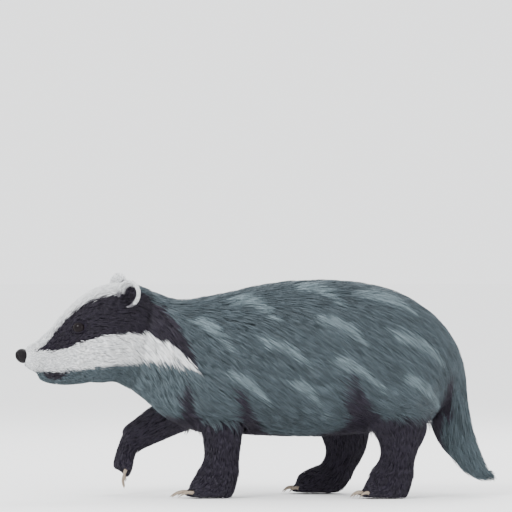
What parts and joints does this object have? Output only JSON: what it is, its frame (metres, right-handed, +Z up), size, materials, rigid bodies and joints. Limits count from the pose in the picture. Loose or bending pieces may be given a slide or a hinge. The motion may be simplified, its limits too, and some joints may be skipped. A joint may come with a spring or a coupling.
{
  "type": "european badger",
  "caption": "Life-size still model of a european badger in mid walk, standing on three feet with the right forefoot raised.",
  "frame": {"origin": "on the floor, below the middle of the whole animal's box", "axes": "+X towards the tail, with the nose at -X; +Y towards the animal's right side; +Z up"},
  "size_m": [0.7859, 0.2678, 0.3621],
  "materials": {
    "grey_coat": "long coarse grizzled grey guard hair",
    "face_coat": "short white fur with a black stripe through each eye",
    "dark_coat": "short near-black fur",
    "tail_coat": "long pale grey brush",
    "ear_coat": "short fur, white along the rim",
    "nose_pad": "damp pebbled skin",
    "eye": "wet dark eye",
    "claw": "worn horn"
  },
  "bodies": {
    "root": {"claw_forepaw_left_1": "claw", "claw_forepaw_left_2": "claw", "claw_forepaw_left_3": "claw", "claw_forepaw_left_4": "claw", "claw_forepaw_left_5": "claw", "claw_forepaw_right_1": "claw", "claw_forepaw_right_2": "claw", "claw_forepaw_right_3": "claw", "claw_forepaw_right_4": "claw", "claw_forepaw_right_5": "claw", "claw_hindpaw_left_1": "claw", "claw_hindpaw_left_2": "claw", "claw_hindpaw_left_3": "claw", "claw_hindpaw_left_4": "claw", "claw_hindpaw_left_5": "claw", "claw_hindpaw_right_1": "claw", "claw_hindpaw_right_2": "claw", "claw_hindpaw_right_3": "claw", "claw_hindpaw_right_4": "claw", "claw_hindpaw_right_5": "claw", "ear_left": "ear_coat", "ear_right": "ear_coat", "eye_left": "eye", "eye_right": "eye", "foreleg_left": "dark_coat", "foreleg_right": "dark_coat", "forepaw_left": "dark_coat", "forepaw_right": "dark_coat", "head": "face_coat", "hindleg_left": "dark_coat", "hindleg_right": "dark_coat", "hindpaw_left": "dark_coat", "hindpaw_right": "dark_coat", "lower_jaw": "dark_coat", "neck": "grey_coat", "nose_pad": "nose_pad", "tail": "tail_coat", "torso": "grey_coat"}
  },
  "joints": []
}
